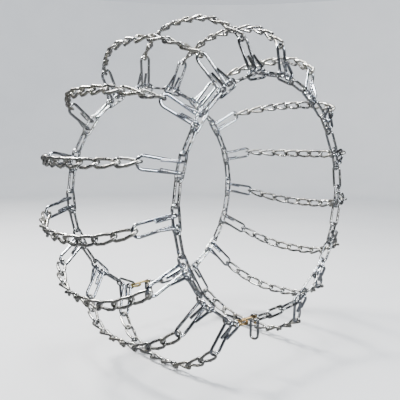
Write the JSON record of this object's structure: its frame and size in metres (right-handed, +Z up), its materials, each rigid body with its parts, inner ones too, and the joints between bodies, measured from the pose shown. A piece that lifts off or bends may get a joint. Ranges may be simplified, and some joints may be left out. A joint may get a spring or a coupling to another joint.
{
  "type": "tire snow chains",
  "caption": "Ladder-pattern snow chains worn round a small tractor tire: two side chains of welded links joined by hooked twist-link cross chains, each side closed by a bent-wire fastener.",
  "frame": {"origin": "the centre of the wheel that wears the chains: on the axle, half way between the two side chains", "axes": "+Z up, +Y along the axle from the outer side (the side with the pictured face) to the inner side, +X forward or back along the ground"},
  "size_m": [0.5421, 0.2747, 0.5274],
  "materials": {
    "side_zinc": "bright zinc plated steel wire, light wear and water marks",
    "hook_zinc": "bright zinc plated steel wire with sheared ends",
    "cross_zinc": "zinc plated case-hardened twist link, slightly duller",
    "yellow_zinc": "yellow chromated zinc plated steel wire"
  },
  "bodies": {
    "side_chains": {"outer_hook_links": "side_zinc", "outer_cross_hooks": "hook_zinc", "outer_free_link_01": "side_zinc", "outer_free_link_02": "side_zinc", "outer_free_link_03": "side_zinc", "outer_free_link_04": "side_zinc", "outer_free_link_05": "side_zinc", "outer_free_link_06": "side_zinc", "outer_free_link_07": "side_zinc", "outer_free_link_08": "side_zinc", "outer_free_link_09": "side_zinc", "outer_free_link_10": "side_zinc", "outer_free_link_11": "side_zinc", "outer_free_link_12": "side_zinc", "outer_free_link_13": "side_zinc", "outer_free_link_14": "side_zinc", "outer_free_link_15": "side_zinc", "inner_hook_links": "side_zinc", "inner_cross_hooks": "hook_zinc", "inner_free_link_01": "side_zinc", "inner_free_link_02": "side_zinc", "inner_free_link_03": "side_zinc", "inner_free_link_04": "side_zinc", "inner_free_link_05": "side_zinc", "inner_free_link_06": "side_zinc", "inner_free_link_07": "side_zinc", "inner_free_link_08": "side_zinc", "inner_free_link_09": "side_zinc", "inner_free_link_10": "side_zinc", "inner_free_link_11": "side_zinc", "inner_free_link_12": "side_zinc", "inner_free_link_13": "side_zinc", "inner_free_link_14": "side_zinc", "inner_free_link_15": "side_zinc"},
    "cross_chain_01": {"cross_chain_01": "cross_zinc"},
    "cross_chain_02": {"cross_chain_02": "cross_zinc"},
    "cross_chain_03": {"cross_chain_03": "cross_zinc"},
    "cross_chain_04": {"cross_chain_04": "cross_zinc"},
    "cross_chain_05": {"cross_chain_05": "cross_zinc"},
    "cross_chain_06": {"cross_chain_06": "cross_zinc"},
    "cross_chain_07": {"cross_chain_07": "cross_zinc"},
    "cross_chain_08": {"cross_chain_08": "cross_zinc"},
    "cross_chain_09": {"cross_chain_09": "cross_zinc"},
    "cross_chain_10": {"cross_chain_10": "cross_zinc"},
    "cross_chain_11": {"cross_chain_11": "cross_zinc"},
    "cross_chain_12": {"cross_chain_12": "cross_zinc"},
    "cross_chain_13": {"cross_chain_13": "cross_zinc"},
    "cross_chain_14": {"cross_chain_14": "cross_zinc"},
    "cross_chain_15": {"cross_chain_15": "cross_zinc"},
    "cross_chain_16": {"cross_chain_16": "cross_zinc"},
    "outer_edge_link": {"outer_edge_link": "side_zinc"},
    "outer_face_link": {"outer_face_link": "side_zinc"},
    "outer_catch_link": {"outer_catch_link": "side_zinc"},
    "outer_fastener_hook": {"outer_fastener_hook": "yellow_zinc"},
    "outer_tail_link": {"outer_tail_link": "side_zinc"},
    "inner_edge_link": {"inner_edge_link": "side_zinc"},
    "inner_face_link": {"inner_face_link": "side_zinc"},
    "inner_catch_link": {"inner_catch_link": "side_zinc"},
    "inner_fastener_hook": {"inner_fastener_hook": "yellow_zinc"},
    "inner_tail_link": {"inner_tail_link": "side_zinc"}
  },
  "joints": [
    {"name": "cross_chain_01_sway", "type": "hinge", "parent": "side_chains", "child": "cross_chain_01", "pos_m": [0.10126, 0, -0.20832], "axis": [0, 1, 0], "range_deg": [-6, 6]},
    {"name": "cross_chain_02_sway", "type": "hinge", "parent": "side_chains", "child": "cross_chain_02", "pos_m": [0.16579, 0, -0.16151], "axis": [0, 1, 0], "range_deg": [-6, 6]},
    {"name": "cross_chain_03_sway", "type": "hinge", "parent": "side_chains", "child": "cross_chain_03", "pos_m": [0.21097, 0, -0.09479], "axis": [0, 1, 0], "range_deg": [-6, 6]},
    {"name": "cross_chain_04_sway", "type": "hinge", "parent": "side_chains", "child": "cross_chain_04", "pos_m": [0.2307, 0, -0.0155], "axis": [0, 1, 0], "range_deg": [-6, 6]},
    {"name": "cross_chain_05_sway", "type": "hinge", "parent": "side_chains", "child": "cross_chain_05", "pos_m": [0.22138, 0, 0.06691], "axis": [0, 1, 0], "range_deg": [-6, 6]},
    {"name": "cross_chain_06_sway", "type": "hinge", "parent": "side_chains", "child": "cross_chain_06", "pos_m": [0.18292, 0, 0.14177], "axis": [0, 1, 0], "range_deg": [-6, 6]},
    {"name": "cross_chain_07_sway", "type": "hinge", "parent": "side_chains", "child": "cross_chain_07", "pos_m": [0.11936, 0, 0.19848], "axis": [0, 1, 0], "range_deg": [-6, 6]},
    {"name": "cross_chain_08_sway", "type": "hinge", "parent": "side_chains", "child": "cross_chain_08", "pos_m": [0.03889, 0, 0.22844], "axis": [0, 1, 0], "range_deg": [-6, 6]},
    {"name": "cross_chain_09_sway", "type": "hinge", "parent": "side_chains", "child": "cross_chain_09", "pos_m": [-0.04718, 0, 0.22686], "axis": [0, 1, 0], "range_deg": [-6, 6]},
    {"name": "cross_chain_10_sway", "type": "hinge", "parent": "side_chains", "child": "cross_chain_10", "pos_m": [-0.12646, 0, 0.19402], "axis": [0, 1, 0], "range_deg": [-6, 6]},
    {"name": "cross_chain_11_sway", "type": "hinge", "parent": "side_chains", "child": "cross_chain_11", "pos_m": [-0.18787, 0, 0.13511], "axis": [0, 1, 0], "range_deg": [-6, 6]},
    {"name": "cross_chain_12_sway", "type": "hinge", "parent": "side_chains", "child": "cross_chain_12", "pos_m": [-0.2236, 0, 0.05904], "axis": [0, 1, 0], "range_deg": [-6, 6]},
    {"name": "cross_chain_13_sway", "type": "hinge", "parent": "side_chains", "child": "cross_chain_13", "pos_m": [-0.23002, 0, -0.02353], "axis": [0, 1, 0], "range_deg": [-6, 6]},
    {"name": "cross_chain_14_sway", "type": "hinge", "parent": "side_chains", "child": "cross_chain_14", "pos_m": [-0.20761, 0, -0.10198], "axis": [0, 1, 0], "range_deg": [-6, 6]},
    {"name": "cross_chain_15_sway", "type": "hinge", "parent": "side_chains", "child": "cross_chain_15", "pos_m": [-0.16023, 0, -0.16704], "axis": [0, 1, 0], "range_deg": [-6, 6]},
    {"name": "cross_chain_16_sway", "type": "hinge", "parent": "side_chains", "child": "cross_chain_16", "pos_m": [-0.09422, 0, -0.21161], "axis": [0, 1, 0], "range_deg": [-6, 6]},
    {"name": "outer_edge_link_roll", "type": "hinge", "parent": "side_chains", "child": "outer_edge_link", "pos_m": [0.05103, -0.12739, -0.16825], "axis": [0.9954, 0, 0.096], "range_deg": [-4, 4]},
    {"name": "outer_face_link_roll", "type": "hinge", "parent": "side_chains", "child": "outer_face_link", "pos_m": [0.01892, -0.12739, -0.1705], "axis": [0.999, 0, 0.0438], "range_deg": [-8, 8]},
    {"name": "outer_catch_link_roll", "type": "hinge", "parent": "side_chains", "child": "outer_catch_link", "pos_m": [-0.01327, -0.12739, -0.17106], "axis": [1, 0, -0.0086], "range_deg": [-8, 8]},
    {"name": "outer_fastener_hook_roll", "type": "hinge", "parent": "side_chains", "child": "outer_fastener_hook", "pos_m": [-0.0612, -0.12739, -0.16896], "axis": [0.9981, 0, -0.0616], "range_deg": [-4, 4]},
    {"name": "outer_tail_link_swing", "type": "hinge", "parent": "outer_catch_link", "child": "outer_tail_link", "pos_m": [-0.02237, -0.12189, -0.17099], "axis": [1, 0, -0.0086], "range_deg": [-15, 15]},
    {"name": "inner_edge_link_roll", "type": "hinge", "parent": "side_chains", "child": "inner_edge_link", "pos_m": [0.05103, 0.12739, -0.16825], "axis": [0.9954, 0, 0.096], "range_deg": [-4, 4]},
    {"name": "inner_face_link_roll", "type": "hinge", "parent": "side_chains", "child": "inner_face_link", "pos_m": [0.01892, 0.12739, -0.1705], "axis": [0.999, 0, 0.0438], "range_deg": [-8, 8]},
    {"name": "inner_catch_link_roll", "type": "hinge", "parent": "side_chains", "child": "inner_catch_link", "pos_m": [-0.01327, 0.12739, -0.17106], "axis": [1, 0, -0.0086], "range_deg": [-8, 8]},
    {"name": "inner_fastener_hook_roll", "type": "hinge", "parent": "side_chains", "child": "inner_fastener_hook", "pos_m": [-0.0612, 0.12739, -0.16896], "axis": [0.9981, 0, -0.0616], "range_deg": [-4, 4]},
    {"name": "inner_tail_link_swing", "type": "hinge", "parent": "inner_catch_link", "child": "inner_tail_link", "pos_m": [-0.02237, 0.13289, -0.17099], "axis": [1, 0, -0.0086], "range_deg": [-15, 15]}
  ]
}
